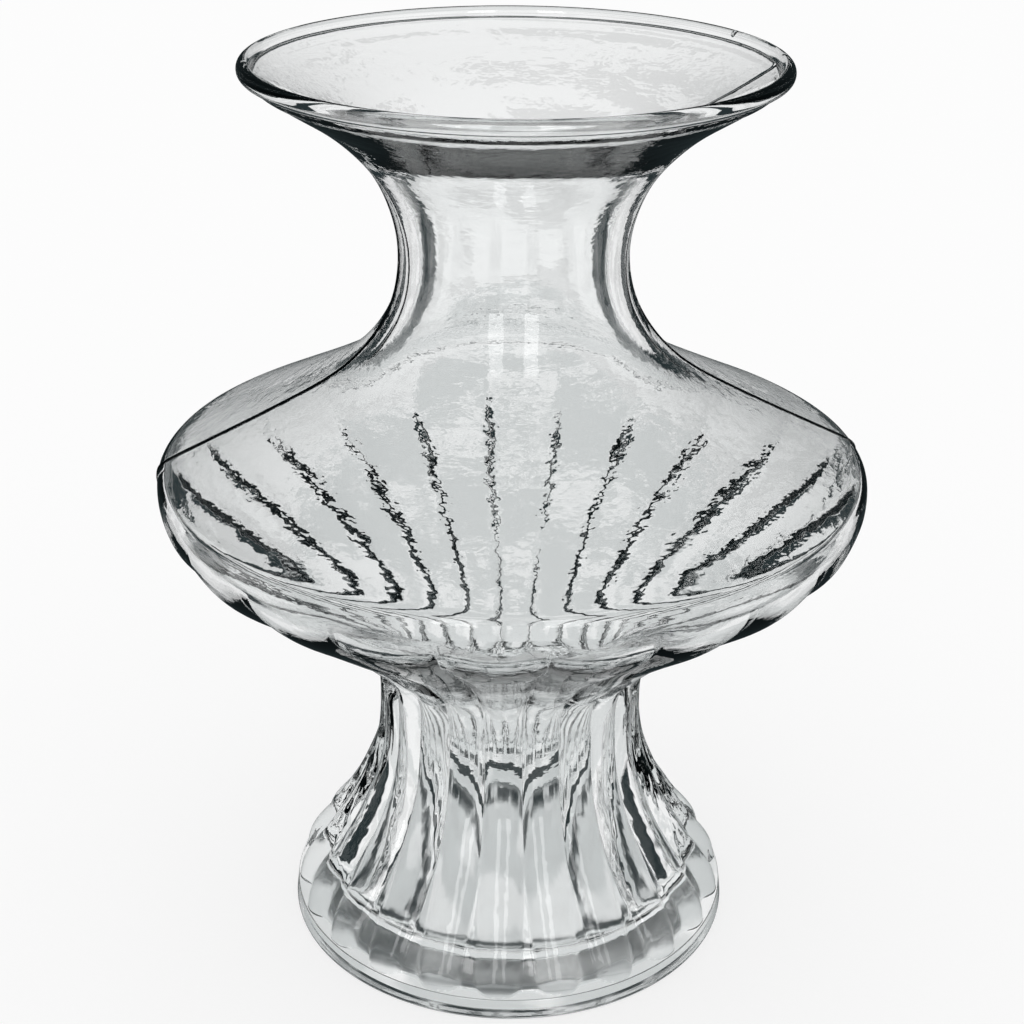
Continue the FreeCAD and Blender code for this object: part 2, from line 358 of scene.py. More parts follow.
def smooth_rows(knots, step):
    """Rows of a natural cubic spline through the knots, about a step apart, with the knots among them.

    The first two values of a knot are its place in the half section, and the rest are carried along.
    """
    knots = np.array(knots)
    gaps = np.linalg.norm(np.diff(knots[:, :2], axis=0), axis=1)
    matrix = np.eye(len(knots))
    right = np.zeros_like(knots)
    for i in range(1, len(knots) - 1):
        matrix[i, i - 1:i + 2] = gaps[i - 1], 2 * (gaps[i - 1] + gaps[i]), gaps[i]
        right[i] = 6 * ((knots[i + 1] - knots[i]) / gaps[i] - (knots[i] - knots[i - 1]) / gaps[i - 1])
    bends = np.linalg.solve(matrix, right)
    rows = []
    for i, gap in enumerate(gaps):
        spans = max(1, round(gap / step))
        t = np.arange(spans)[:, None] / spans
        rest = 1 - t
        curved = (rest ** 3 - rest) * bends[i] + (t ** 3 - t) * bends[i + 1]
        rows.extend(rest * knots[i] + t * knots[i + 1] + gap ** 2 / 6 * curved)
    rows.append(knots[-1])
    return np.array(rows)


def outside_knots(sizes):
    """The outside from the plate to the lip: radius, level, wall, flute depth."""
    knots = []

    def add(shares, levels, radii, walls, depths):
        for row in shares:
            depth = between(*depths, row[2]) if depths else 0
            wall = between(*walls, row[0] if depths else row[2])
            knots.append((between(*radii, row[1]), between(*levels, row[0]), wall, depth))

    waist, root, neck = sizes.waist_radius, sizes.neck_root_radius, sizes.neck_radius
    add(FOOT_SHARES, (BASE_TOP, sizes.waist_level), (sizes.flute_end_radius, waist),
        (sizes.foot_wall, sizes.waist_wall), (sizes.foot_depth, sizes.waist_depth))
    bowl = ((sizes.waist_level, WIDEST_LEVEL), (waist, WIDEST_RADIUS), (sizes.waist_wall, sizes.bowl_wall))
    add(BOWL_SHARES[1:], *bowl, (sizes.waist_depth, sizes.bowl_depth))
    add(BOWL_HEAD_SHARES, *bowl, (0, sizes.bowl_depth))
    add(SHOULDER_SHARES[1:], (WIDEST_LEVEL, NECK_ROOT_LEVEL), (WIDEST_RADIUS, root),
        (sizes.bowl_wall, sizes.neck_wall), None)
    add(NECK_SHARES[1:], (NECK_ROOT_LEVEL, sizes.neck_level), (root, neck),
        (sizes.neck_wall, sizes.neck_wall), None)
    flare = ((sizes.neck_level, LIP_LEVEL), (neck, sizes.flare_radius))
    add(FLARE_SHARES[1:5], *flare, (sizes.neck_wall, sizes.flare_wall), None)
    add(FLARE_SHARES[5:], *flare, (sizes.flare_wall, sizes.lip_wall), None)
    return knots


def outside_rows(sizes):
    """The outside's rows, closer together where the collar under the lip stands out."""
    rows = []
    plain = smooth_rows(outside_knots(sizes), sizes.outside_step)
    for row, after in zip(plain, plain[1:]):
        near = abs(row[1] - sizes.collar_level) < 4 * sizes.collar_width
        rows.extend(row + (after - row) * share for share in ((0, 0.33, 0.67) if near else (0,)))
    rows.append(plain[-1])
    rows = np.array(rows)
    off = (rows[:, 1] - sizes.collar_level) / sizes.collar_width
    rows[:, 0] += sizes.collar_height * np.exp(-off ** 2)
    return rows


def corner(centre, radius, start, end, count):
    """Points of an arc in the half section, angles in degrees from straight out."""
    turns = np.radians(np.linspace(start, end, count))
    return [(centre[0] + radius * math.cos(a), centre[1] + radius * math.sin(a)) for a in turns]


def underside(sizes):
    """The plate from the axis underneath to its top edge."""
    edge, rim, depth = sizes.edge_round, sizes.recess_radius, sizes.recess_depth
    half = depth / 2
    top = (BASE_RADIUS - sizes.base_draft - edge / 2, BASE_TOP - edge / 2)
    points = [(r, depth) for r in np.linspace(0, rim - half, RECESS_ROWS)[:-1]]
    points += corner((rim - half, half), half, 90, 0, SMALL_ARC)
    points += corner((rim + half, half), half, 180, 270, SMALL_ARC)[1:]
    points += [(r, 0) for r in np.linspace(rim + half, BASE_RADIUS - edge, RING_ROWS)[1:-1]]
    points += corner((BASE_RADIUS - edge, edge), edge, 270, 360, EDGE_ARC)
    points += [(between(BASE_RADIUS, top[0] + edge / 2, s), between(edge, top[1], s)) for s in (0.3, 0.65)]
    points += corner(top, edge / 2, 0, 90, SMALL_ARC)
    return points


def is_joint(level):
    return any(abs(level - joint) < 0.02 * MM for joint in LEVELS)


def inside_line(outside):
    """The outside moved in by the wall, square to it, with a point at each level where two pieces meet."""
    along = np.gradient(outside[:, :2], axis=0)
    along /= np.linalg.norm(along, axis=1)[:, None]
    line = outside[:, :2] + np.stack([-along[:, 1], along[:, 0]], 1) * outside[:, 2:3]
    for level in LEVELS[1:]:
        radius = np.interp(level, line[:, 1], line[:, 0])
        line = line[np.abs(line[:, 1] - level) > 0.3 * MM]
        line = np.insert(line, np.searchsorted(line[:, 1], level), (radius, level), axis=0)
    return line[line[:, 1] < LIP_LEVEL + 0.02 * MM]


def floor_corner(line, sizes):
    """Where the inside leaves its line for the rounded corner, and the corner's points."""
    size = sizes.floor_round
    for place in range(len(line) - 1):
        slope = line[place + 1] - line[place]
        lean = math.atan2(-slope[0], slope[1])
        level = BASE_TOP + size + size * math.sin(lean)
        if line[place][1] > level + 0.2 * MM:
            radius = line[place][0] + (line[place][1] - level) * math.tan(lean)
            centre = (radius - size * math.cos(lean), BASE_TOP + size)
            return place, corner(centre, size, math.degrees(lean), -90, CORNER_ROWS)
    raise RuntimeError("the inside never clears its floor corner")


def half_section(sizes):
    """Rows of the closed half section, and where in them two pieces meet.

    A row is radius, level, flute depth, width and power of a flute's lobe, how much of the seam and of the
    groove shows, and 1 on the outside. The rows run from the axis under the plate up the outside, over the lip
    and down the inside to the axis.
    """
    rows, outer_joints, inner_joints = [], [], []

    def add(radius, level, depth=0.0, lobe=1.0, power=ROUND_LOBE_POWER, seam=0.0, outside=1.0):
        groove = outside * ramp(depth, 0, FULL_GROOVE_DEPTH)
        faint = min(FAINT_GROOVE, ramp(level, *FAINT_GROOVE_START))
        groove *= between(faint, 1.0, ramp(level, *GROOVE_START))
        groove *= ramp(level, *GROOVE_END)
        rows.append((radius, level, depth, lobe, power, seam, groove, outside))

    for radius, level in underside(sizes):
        add(radius, level)
    for share in LEDGE_SHARES:
        add(between(rows[-1][0], sizes.flute_end_radius, share), BASE_TOP, sizes.foot_depth * share,
            sizes.foot_lobe, FOOT_LOBE_POWER)
    for radius, level, wall, depth in outside_rows(sizes):
        if is_joint(level):
            outer_joints.append(len(rows))
        rise = ramp(level, BASE_TOP, sizes.waist_level)
        lobe = between(sizes.foot_lobe, 1.0, ramp(rise, 0, FULL_LOBE_SHARE))
        add(radius, level, max(depth, 0.0), lobe, between(FOOT_LOBE_POWER, ROUND_LOBE_POWER, rise),
            ramp(level, *SEAM_START))

    plain = smooth_rows(outside_knots(sizes), sizes.inside_step)
    inner = inside_line(plain)
    roll = [(sizes.flare_radius + out * MM, LIP_LEVEL + up * MM) for out, up in LIP_ROLL]
    for radius, level in smooth_rows(roll + [tuple(inner[-1])], LIP_STEP)[1:-1]:
        add(radius, level)

    start, round_points = floor_corner(inner, sizes)
    for radius, level in inner[:start - 1:-1]:
        if is_joint(level):
            inner_joints.append(len(rows))
        share = sizes.follow * ramp(level, sizes.waist_level, sizes.waist_level + INNER_RIB_START)
        depth = share * max(0.0, float(np.interp(level, plain[:, 1], plain[:, 3])))
        add(radius, level, depth, INNER_LOBE, outside=0.0)
    for radius, level in round_points:
        add(radius, level, outside=0.0)
    inner_joints.append(len(rows) - 1)
    for radius in np.linspace(rows[-1][0], 0, FLOOR_ROWS)[1:]:
        add(radius, BASE_TOP, outside=0.0)
    if len(outer_joints) != len(LEVELS) or len(inner_joints) != len(LEVELS):
        raise RuntimeError("the half section misses a level where two pieces meet")
    return rows, outer_joints, inner_joints[::-1]


def column_turns(sizes):
    """Each column's turn and its place within a flute, -1 to 1, denser in the valleys and by the seams."""
    pitch = math.tau / sizes.flute_count
    places = sorted({*FLUTE_PLACES, *(-place for place in FLUTE_PLACES), -1})
    turns = [sizes.first_crest + pitch * (flute + place / 2)
             for flute in range(sizes.flute_count) for place in places]
    near = np.radians(SEAM_PLACES)
    for side in (0, math.pi):
        for offset in sorted({*near, *-near}):
            turns.append(sizes.seam_turn + side + offset)
    turns = np.sort(np.mod(np.array(turns), math.tau))
    gaps = np.diff(np.append(turns, turns[0] + math.tau))
    turns = turns[gaps > math.radians(LEAST_GAP)]
    along = (turns - sizes.first_crest) / pitch
    return turns, 2 * (along - np.round(along))


def flute_tree():
    """Presses flutes, seams and unevenness into a turned wall."""
    tree = bpy.data.node_groups.new("press_flutes", "GeometryNodeTree")
    face = tree.interface
    face.new_socket("Geometry", in_out="INPUT", socket_type="NodeSocketGeometry")
    for name in FLUTE_SIZES:
        face.new_socket(name, in_out="INPUT", socket_type="NodeSocketFloat")
    face.new_socket("Glass", in_out="INPUT", socket_type="NodeSocketMaterial")
    face.new_socket("Geometry", in_out="OUTPUT", socket_type="NodeSocketGeometry")
    given = add_node(tree, "NodeGroupInput").outputs
    place = add_node(tree, "GeometryNodeInputPosition")
    parts = add_node(tree, "ShaderNodeSeparateXYZ", [place]).outputs
    flat = add_node(tree, "ShaderNodeCombineXYZ", [parts["X"], parts["Y"]])
    out = add_node(tree, VECTOR_MATH, [flat], operation="NORMALIZE")
    normal = add_node(tree, "GeometryNodeInputNormal")

    values = {name: given[name] for name in FLUTE_SIZES}
    for name in ROW_VALUES:
        values[name] = add_node(tree, "GeometryNodeInputNamedAttribute", {"Name": name}, data_type="FLOAT")
    values.update(x=parts["X"], y=parts["Y"])
    values["radius"] = add_node(tree, VECTOR_MATH, [flat], operation="LENGTH").outputs["Value"]
    seed = add_node(tree, MATH, [given["Seed"], GROOVE_SEED], operation="ADD")
    uneven = add_node(
        tree, NOISE, {"Vector": place, "W": seed, "Scale": GROOVE_PATCHES}, noise_dimensions="4D")
    values["uneven"] = add_node(tree, MAP_RANGE, [uneven, *GROOVE_UNEVEN])
    seed = add_node(tree, MATH, [given["Seed"], values["outside"]], operation="ADD")
    scale = add_node(tree, MATH, [1.0, given["Wave length"]], operation="DIVIDE")
    values["waves"] = add_node(
        tree, NOISE, {"Vector": place, "W": seed, "Scale": scale, "Detail": 1.5, "Roughness": 0.45},
        noise_dimensions="4D")

    # Each step's name, its operation, and the values or numbers that it takes
    for name, operation, *terms in (
        # A lobe over each crest, and flat between the lobes where they are narrower than a flute
        ("aside", "ABSOLUTE", "flute"),
        ("across", "DIVIDE", "aside", "lobe"),
        ("steep", "POWER", "across", "power"),
        ("rounded", "SMOOTH_MIN", "steep", 1.0, LOBE_EDGE),
        ("drop", "MULTIPLY", "rounded", "depth"),
        # The sharp groove that the mould's rib leaves along each valley
        ("half pitch", "MULTIPLY", "Pitch", 0.5),
        ("half pitch", "MULTIPLY", "half pitch", "radius"),
        ("off valley", "SUBTRACT", 1.0, "aside"),
        ("off valley", "MULTIPLY", "off valley", "half pitch"),
        ("off valley", "DIVIDE", "off valley", "Groove width"),
        ("off valley", "MULTIPLY", "off valley", -1.0),
        ("cut", "EXPONENT", "off valley"),
        ("cut", "MULTIPLY", "cut", "Groove depth"),
        ("cut", "MULTIPLY", "cut", "groove"),
        ("cut", "MULTIPLY", "cut", "uneven"),
        ("drop", "ADD", "drop", "cut"),
        ("inwards", "MULTIPLY", "drop", -1.0),
        # A rounded ridge along the mould's parting plane
        ("turn", "ARCTAN2", "y", "x"),
        ("turn", "SUBTRACT", "turn", "Seam turn"),
        ("off plane", "SINE", "turn"),
        ("off plane", "MULTIPLY", "off plane", "radius"),
        ("off plane", "DIVIDE", "off plane", "Seam width"),
        ("off plane", "MULTIPLY", "off plane", "off plane"),
        ("off plane", "MULTIPLY", "off plane", -1.0),
        ("ridge", "EXPONENT", "off plane"),
        ("ridge", "MULTIPLY", "ridge", "Seam height"),
        ("ridge", "MULTIPLY", "ridge", "seam"),
        # Slow waves in the blown wall, on both sides of it
        ("wave", "SUBTRACT", "waves", 0.5),
        ("wave", "MULTIPLY", "wave", "Wave height"),
        ("wave", "MULTIPLY", "wave", 2.0),
        ("wave", "MULTIPLY", "wave", "loose"),
        ("raised", "ADD", "ridge", "wave"),
    ):
        values[name] = add_node(tree, MATH, [values.get(term, term) for term in terms], operation=operation)

    inwards = add_node(tree, VECTOR_MATH, {0: out, 3: values["inwards"]}, operation="SCALE")
    raised = add_node(tree, VECTOR_MATH, {0: normal, 3: values["raised"]}, operation="SCALE")
    moved = add_node(tree, VECTOR_MATH, [inwards, raised], operation="ADD")
    pressed = add_node(tree, "GeometryNodeSetPosition", {"Geometry": given["Geometry"], "Offset": moved})
    real = add_node(tree, "GeometryNodeRealizeInstances", [pressed])
    coated = add_node(tree, "GeometryNodeSetMaterial", {"Geometry": real, "Material": given["Glass"]})
    add_node(tree, "NodeGroupOutput", [coated])
    return tree


def new_object(name, mesh):
    piece = bpy.data.objects.new(name, mesh)
    bpy.context.scene.collection.objects.link(piece)
    return piece


def made_by(tree, piece, values):
    """The plain mesh that a node tree makes of a piece, which is then removed."""
    modifier = piece.modifiers.new(tree.name, "NODES")
    modifier.node_group = tree
    for item in tree.interface.items_tree:
        if item.item_type == "SOCKET" and item.in_out == "INPUT" and item.name in values:
            modifier[item.identifier] = values[item.name]
    graph = bpy.context.evaluated_depsgraph_get()
    mesh = bpy.data.meshes.new_from_object(piece.evaluated_get(graph))
    bpy.data.objects.remove(piece)
    return mesh


def mesh_of(name, points, faces):
    """A smooth-shaded mesh from points and faces."""
    mesh = bpy.data.meshes.new(name)
    mesh.from_pydata([tuple(p) for p in points], [], faces)
    mesh.shade_smooth()
    return mesh


def band(low, high, columns):
    """Faces between two rows of vertices, each given by its first vertex, or ("pole", vertex) on the axis."""
    faces = []
    for column in range(columns):
        after = (column + 1) % columns
        if isinstance(low, tuple):
            faces.append((low[1], high + after, high + column))
        elif isinstance(high, tuple):
            faces.append((low + column, low + after, high[1]))
        else:
            faces.append((low + column, low + after, high + after, high + column))
    return faces


def new_material(name):
    """A material and its node tree, still empty."""
    material = bpy.data.materials.new(name)
    material.use_nodes = True
    material.node_tree.nodes.clear()
    return material, material.node_tree


def glass_material(colours):
    """Soda-lime glass, blown in a cold mould and fire-polished at the lip.

    It is clear with a faint grey-green tint. The mould's chill leaves fine level ripples under the bowl.
    """
    material, tree = new_material("blown_soda_lime_glass")
    place = add_node(tree, "ShaderNodeTexCoord").outputs["Object"]

    # Chill ripples: 2.2 mm apart up the wall and some 6 mm long round it
    ripple = add_node(
        tree, "ShaderNodeMapping", {"Vector": place, "Scale": (1 / (6 * MM), 1 / (6 * MM), 1 / (2.2 * MM))})
    ripple = add_node(tree, NOISE, {"Vector": ripple, "Scale": 1.0, "Detail": 2.0, "Roughness": 0.5})
    where = add_node(tree, "ShaderNodeAttribute", attribute_name="ripple").outputs["Fac"]
    ripple = add_node(tree, MATH, [ripple, where], operation="MULTIPLY")

    # Lines that the hot glass draws down the foot: 3 mm apart and some 40 mm long
    drawn = add_node(
        tree, "ShaderNodeMapping", {"Vector": place, "Scale": (1 / (3 * MM), 1 / (3 * MM), 1 / (40 * MM))})
    drawn = add_node(tree, NOISE, {"Vector": drawn, "Scale": 1.0, "Detail": 1.0})
    where = add_node(tree, "ShaderNodeAttribute", attribute_name="drawn").outputs["Fac"]
    for share in (where, DRAWN_SHARE):
        drawn = add_node(tree, MATH, [drawn, share], operation="MULTIPLY")

    height = add_node(tree, MATH, [ripple, drawn], operation="ADD")
    bump = add_node(tree, "ShaderNodeBump", {"Strength": 1.0, "Distance": RIPPLE_HEIGHT, "Height": height})
    shader = add_node(tree, "ShaderNodeBsdfPrincipled", {
        "Base Color": linear(colours.glass), "Roughness": 0.0, "IOR": GLASS_IOR, "Transmission Weight": 1.0,
        "Normal": bump})
    add_node(tree, "ShaderNodeOutputMaterial", {"Surface": shader})
    return material


def underside_material(colours):
    """The same glass underneath, finely stippled by the mould.

    The standing ring is worn and frosted, and the hollow inside it is only dimmed in patches.
    """
    material, tree = new_material("stippled_glass_underside")
    place = add_node(tree, "ShaderNodeTexCoord").outputs["Object"]
    stipple = add_node(tree, NOISE, {"Vector": place, "Scale": 1 / STIPPLE_SPACING, "Detail": 2.0})
    bump = add_node(tree, "ShaderNodeBump", {"Strength": 0.5, "Distance": STIPPLE_HEIGHT, "Height": stipple})
    shader = add_node(tree, "ShaderNodeBsdfPrincipled", {
        "Base Color": linear(colours.underside), "Roughness": 0.3, "IOR": GLASS_IOR,
        "Transmission Weight": 1.0, "Normal": bump})
    frosted = add_node(tree, "ShaderNodeBsdfTranslucent", {"Color": linear(colours.underside)})
    away = add_node(tree, VECTOR_MATH, [place], operation="LENGTH").outputs["Value"]
    ring = add_node(tree, MAP_RANGE, [away, *WORN_RING_START])
    patches = add_node(tree, NOISE, {"Vector": place, "Scale": 1 / WEAR_PATCH, "Detail": 2.0})
    patches = add_node(tree, MAP_RANGE, [patches, *WEAR_EDGE, *HOLLOW_FROST])
    frost = add_node(tree, MIX, {0: ring, 2: patches, 3: RING_FROST})
    mixed = add_node(tree, MIX_SHADER, [frost, shader, frosted])
    add_node(tree, "ShaderNodeOutputMaterial", {"Surface": mixed})
    return material


def joint_material():
    """The face where two pieces meet inside the glass, which has no surface there and so is fully clear."""
    material, tree = new_material("fused_glass_joint")
    clear = add_node(tree, "ShaderNodeBsdfTransparent")
    add_node(tree, "ShaderNodeOutputMaterial", {"Surface": clear})
    return material


def ripple_share(level, outside):
    """How strongly the chill ripples show at a level of the outside."""
    levels, shares = zip(*RIPPLE_SHARES)
    return outside * float(np.interp(level / MM, levels, shares))


WALL = {}


def form_wall(sizes, colours):
    """Turns the half section, presses the flutes and keeps its points, shading and joints in WALL."""
    rows, outer, inner = half_section(sizes)
    turns, flute = column_turns(sizes)
    columns = len(turns)
    points, values, starts = [], [], []
    for radius, level, depth, lobe, power, seam, groove, outside in rows:
        starts.append(len(points))
        loose = ramp(level, *WAVE_START) * ramp(level, *WAVE_END)
        around = [(0.0, 0.0)] if radius == 0 else list(zip(np.cos(turns) * radius, np.sin(turns) * radius))
        for index, (x, y) in enumerate(around):
            points.append((x, y, level))
            values.append((flute[index], depth, lobe, power, seam, groove, outside, loose))
    marks = [("pole", start) if rows[i][0] == 0 else start for i, start in enumerate(starts)]
    faces = []
    for low, high in zip(marks, marks[1:]):
        faces += band(low, high, columns)
    mesh = mesh_of("turned_wall", points, faces)
    for index, name in enumerate(ROW_VALUES):
        mesh.attributes.new(name, "FLOAT", "POINT").data.foreach_set("value", [row[index] for row in values])
    glass = glass_material(colours)
    pressed = made_by(flute_tree(), new_object("turned_wall", mesh), {
        "Pitch": math.tau / sizes.flute_count,
        "Groove depth": sizes.groove_depth, "Groove width": sizes.groove_width,
        "Seam height": sizes.seam_height, "Seam width": sizes.seam_width, "Seam turn": sizes.seam_turn,
        "Wave height": sizes.wave_height, "Wave length": sizes.wave_length,
        "Seed": float(sizes.seed), "Glass": glass})
    places, shading = np.empty((2, len(pressed.vertices) * 3))
    pressed.vertices.foreach_get("co", places)
    pressed.vertex_normals.foreach_get("vector", shading)
    bpy.data.meshes.remove(pressed)
    worn = [level <= sizes.recess_depth and radius <= BASE_RADIUS - sizes.clear_edge
            for radius, level, *_, outside in rows if outside]
    WALL.update(
        points=places.reshape(-1, 3), normals=shading.reshape(-1, 3), rows=rows, starts=starts, outer=outer,
        inner=inner, columns=columns, worn_rows=sum(worn),
        coats=(glass, joint_material(), underside_material(colours)))


def cut_piece(node, rows):
    """Makes a piece from a closed run of the wall's rows.

    A step between rows that aren't neighbours is a joint.
    """
    columns = WALL["columns"]
    points, normals, marks, ripple, drawn = [], [], [], [], []
    for row in rows:
        radius, level, outside = WALL["rows"][row][0], WALL["rows"][row][1], WALL["rows"][row][-1]
        size = 1 if radius == 0 else columns
        marks.append(("pole", len(points)) if size == 1 else len(points))
        start = WALL["starts"][row]
        places = WALL["points"][start:start + size]
        points.extend(places)
        normals.extend(WALL["normals"][start:start + size])
        calm = FRONT_CALM * ramp(level, *CALM_END) * (1 - ramp(places[:, 1], *FRONT_TO_BACK))
        ripple.extend(ripple_share(level, outside) * (1 - calm))
        drawn.extend([outside * ramp(level, *DRAWN_START) * ramp(level, *DRAWN_END)] * size)
    faces, joints, coats = [], [], []
    for index, low in enumerate(marks):
        after = (index + 1) % len(marks)
        high = marks[after]
        if isinstance(low, tuple) and isinstance(high, tuple):
            continue
        joined = rows[after] - rows[index] != 1
        found = band(low, high, columns)
        faces += found
        joints += [joined] * len(found)
        worn = rows[after] < WALL["worn_rows"]
        coats += [JOINT_COAT if joined else UNDERSIDE_COAT if worn else GLASS_COAT] * len(found)
    mesh = mesh_of(node + "_glass", points, faces)
    for coat in WALL["coats"]:
        mesh.materials.append(coat)
    mesh.polygons.foreach_set("material_index", coats)
    for name, shares in (("ripple", ripple), ("drawn", drawn)):
        mesh.attributes.new(name, "FLOAT", "POINT").data.foreach_set("value", shares)
    shading = []
    for polygon, joined in zip(mesh.polygons, joints):
        for vertex in polygon.vertices:
            shading.append(tuple(polygon.normal) if joined else tuple(normals[vertex]))
    mesh.normals_split_custom_set(shading)
    piece = new_object(node + "_glass", mesh)
    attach(piece, BODY)
    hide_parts(node)
    return piece


def cut_zone(node):
    """Cuts a zone's piece out of the formed wall."""
    place = ZONES.index(node)
    outer, inner = WALL["outer"], WALL["inner"]
    up = list(range(outer[place], outer[place + 1] + 1))
    down = list(range(inner[place + 1], inner[place] + 1))
    return cut_piece(node, up + down)


class VASE_OT_form_wall(bpy.types.Operator):
    """Turns the half section of the glass and presses its flutes and mould seams"""
    bl_idname = "vase.form_wall"
    bl_label = "Form the wall"

    def execute(self, context):
        form_wall(context.scene.vase_sizes, context.scene.vase_colours)
        return {"FINISHED"}


class VASE_OT_base_plate(bpy.types.Operator):
    """Makes the plate that closes the foot, with its standing ring and the hollow under it"""
    bl_idname = "vase.base_plate"
    bl_label = "Base plate"

    def execute(self, context):
        last = len(WALL["rows"])
        cut_piece("base_plate", list(range(WALL["outer"][0] + 1)) + list(range(WALL["inner"][0], last)))
        return {"FINISHED"}


class VASE_OT_fluted_zones(bpy.types.Operator):
    """Makes the fluted foot, the waist, the ribbed bowl and the band where its ribs die away"""
    bl_idname = "vase.fluted_zones"
    bl_label = "Fluted foot, waist and bowl"

    def execute(self, context):
        for node in FLUTED_ZONES:
            cut_zone(node)
        return {"FINISHED"}


class VASE_OT_smooth_zones(bpy.types.Operator):
    """Makes the smooth shoulder, the neck and the flare"""
    bl_idname = "vase.smooth_zones"
    bl_label = "Shoulder, neck and flare"

    def execute(self, context):
        for node in SMOOTH_ZONES:
            cut_zone(node)
        return {"FINISHED"}


class VASE_OT_lip_ring(bpy.types.Operator):
    """Makes the rolled lip"""
    bl_idname = "vase.lip_ring"
    bl_label = "Rolled lip"

    def execute(self, context):
        cut_piece("lip_ring", list(range(WALL["outer"][-1], WALL["inner"][-1] + 1)))
        return {"FINISHED"}


def floor_material(colours):
    """A pale painted studio floor that keeps the vase's shadow.

    Through the glass it is a pale table under and behind the vase, with the vase's shade painted on it round
    and under the plate, and clear beyond that. In what the glass mirrors it is the dark room in front of the
    table.
    """
    material, tree = new_material("pale_painted_floor")
    light = add_node(tree, "ShaderNodeLightPath").outputs
    paint = add_node(tree, "ShaderNodeBsdfDiffuse", {"Color": linear(colours.floor)})
    white = add_node(tree, "ShaderNodeEmission", {"Color": WHITE, "Strength": 1.0})
    share = add_node(tree, MATH, [light["Is Camera Ray"], FLOOR_GLOW], operation="MULTIPLY")
    painted = add_node(tree, MIX_SHADER, [share, paint, white])

    # The table: a disc round the vase and an oval behind it
    place = add_node(tree, "ShaderNodeTexCoord").outputs["Object"]
    away = add_node(tree, VECTOR_MATH, [place], operation="LENGTH").outputs["Value"]
    oval = add_node(tree, "ShaderNodeMapping", {
        "Vector": place, "Location": (0, -TABLE_CENTRE / TABLE_LENGTH, 0),
        "Scale": (1 / TABLE_WIDTH, 1 / TABLE_LENGTH, 1)})
    oval = add_node(tree, VECTOR_MATH, [oval], operation="LENGTH").outputs["Value"]
    oval = add_node(tree, MAP_RANGE, [oval, *TABLE_EDGE])
    disc = add_node(tree, MAP_RANGE, [away, *DISC_EDGE])
    table = add_node(tree, MATH, [oval, disc], operation="MAXIMUM")
    clouds = add_node(tree, NOISE, {"Vector": place, "Scale": 1 / TABLE_CLOUD, "Detail": 4.0})
    clouds = add_node(tree, MAP_RANGE, [clouds, *CLOUD_EDGE])
    top = add_node(
        tree, MIX, {0: clouds, 6: linear(colours.table), 7: linear(colours.sheet)},
        data_type="RGBA").outputs[2]

    # The vase's own shade, painted on the table in the room's dark colour: a ring round the plate, and patches
    # in the hollow under it
    patches = add_node(tree, NOISE, {"Vector": place, "Scale": 1 / SHADE_PATCH, "Detail": 2.0})
    inner = add_node(tree, MAP_RANGE, [patches, *PATCH_EDGE])
    for edge in INNER_SHADE:
        side = add_node(tree, MAP_RANGE, [away, *edge])
        inner = add_node(tree, MATH, [inner, side], operation="MULTIPLY")
    outer = [add_node(tree, MAP_RANGE, [away, *edge]) for edge in OUTER_SHADE]
    outer = add_node(tree, MATH, outer, operation="MULTIPLY")
    shade = add_node(tree, MATH, [outer, inner], operation="MAXIMUM")
    top = add_node(
        tree, MIX, {0: shade, 6: top, 7: linear(colours.room)}, data_type="RGBA").outputs[2]

    clear = add_node(tree, "ShaderNodeBsdfTransparent")
    lit = add_node(tree, "ShaderNodeEmission", {"Color": top, "Strength": 1.0})
    seen = add_node(tree, MIX_SHADER, [table, clear, lit])
    dark = add_node(tree, "ShaderNodeEmission", {"Color": linear(colours.room), "Strength": 1.0})
    by_glass = [light["Is Glossy Ray"], light["Is Transmission Ray"]]
    mirrored = add_node(tree, MATH, by_glass, operation="GREATER_THAN")
    seen = add_node(tree, MIX_SHADER, [mirrored, seen, dark])
    by_glass = add_node(tree, MATH, by_glass, operation="MAXIMUM")
    mixed = add_node(tree, MIX_SHADER, [by_glass, painted, seen])
    add_node(tree, "ShaderNodeOutputMaterial", {"Surface": mixed})
    return material


